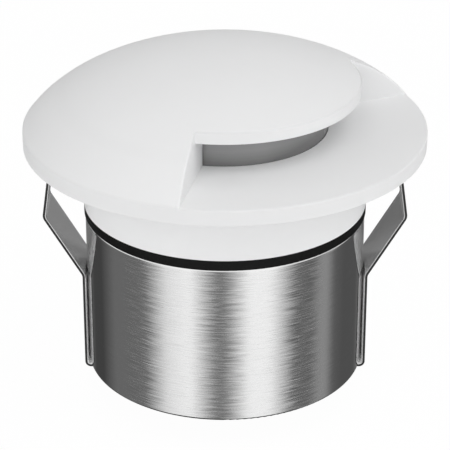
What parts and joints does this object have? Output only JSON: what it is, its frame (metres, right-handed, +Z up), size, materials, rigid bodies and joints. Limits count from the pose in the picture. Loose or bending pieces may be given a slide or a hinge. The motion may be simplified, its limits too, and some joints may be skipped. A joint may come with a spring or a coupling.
{
  "type": "deck light",
  "caption": "Round recessed deck light: white domed cover with a hooded one-way window over a brushed steel can, held in its cut-out by a sprung steel strap.",
  "frame": {"origin": "centre of the flange's underside, on the deck's surface", "axes": "+Z up out of the deck along the can's axis, X through the two strap wings, the window facing +X -Y"},
  "size_m": [0.064, 0.064, 0.0584],
  "materials": {
    "cover_coat": "fine satin powder coat over die-cast aluminium",
    "lens": "frosted polycarbonate, grey when unlit",
    "gasket_rubber": "matt black moulded rubber",
    "seal_silicone": "soft silicone sheet",
    "can_steel": "stainless tube brushed round its axis",
    "base_steel": "stainless plate, brushed straight",
    "strap_steel": "spring stainless strip with bright cut edges",
    "sink_aluminium": "plain turned aluminium",
    "screw_steel": "plain stainless",
    "pad": "grey thermal sheet",
    "led_board": "white solder mask on a metal core",
    "emitter": "yellow phosphor in a white package",
    "lead": "insulated wire",
    "driver_board": "green solder mask",
    "component": "black moulded component",
    "capacitor": "aluminium can",
    "terminal": "green moulded terminal",
    "brass": "plain turned brass",
    "gland_nickel": "nickel-plated brass"
  },
  "bodies": {
    "housing": {"dome_cover": "cover_coat", "lens_cup": "lens", "lens_seal": "seal_silicone", "heat_sink": "sink_aluminium", "heat_sink_screws": "screw_steel", "thermal_pad": "pad", "led_board": "led_board", "led_emitters": "emitter", "board_screws": "screw_steel", "led_leads": "lead", "driver_standoffs": "brass", "driver_board": "driver_board", "driver_screws": "screw_steel", "driver_coil": "component", "driver_capacitor": "capacitor", "driver_chip": "component", "terminal_block": "terminal", "main_gasket": "gasket_rubber", "can_tube": "can_steel", "can_base": "base_steel", "gland_body": "gland_nickel", "gland_washer": "gasket_rubber", "gland_seal": "gasket_rubber", "gland_nut": "gland_nickel", "spring_strap": "strap_steel"},
    "left_wing": {"spring_wing_left": "strap_steel"},
    "right_wing": {"spring_wing_right": "strap_steel"}
  },
  "joints": [
    {"name": "left_wing_spring", "type": "hinge", "parent": "housing", "child": "left_wing", "pos_m": [-0.0228, 0, -0.02239], "axis": [0, 1, 0], "range_deg": [0, 12], "stiffness_Nm_per_rad": 0.2},
    {"name": "right_wing_spring", "type": "hinge", "parent": "housing", "child": "right_wing", "pos_m": [0.0228, 0, -0.02239], "axis": [0, -1, 0], "range_deg": [0, 12], "stiffness_Nm_per_rad": 0.2}
  ]
}
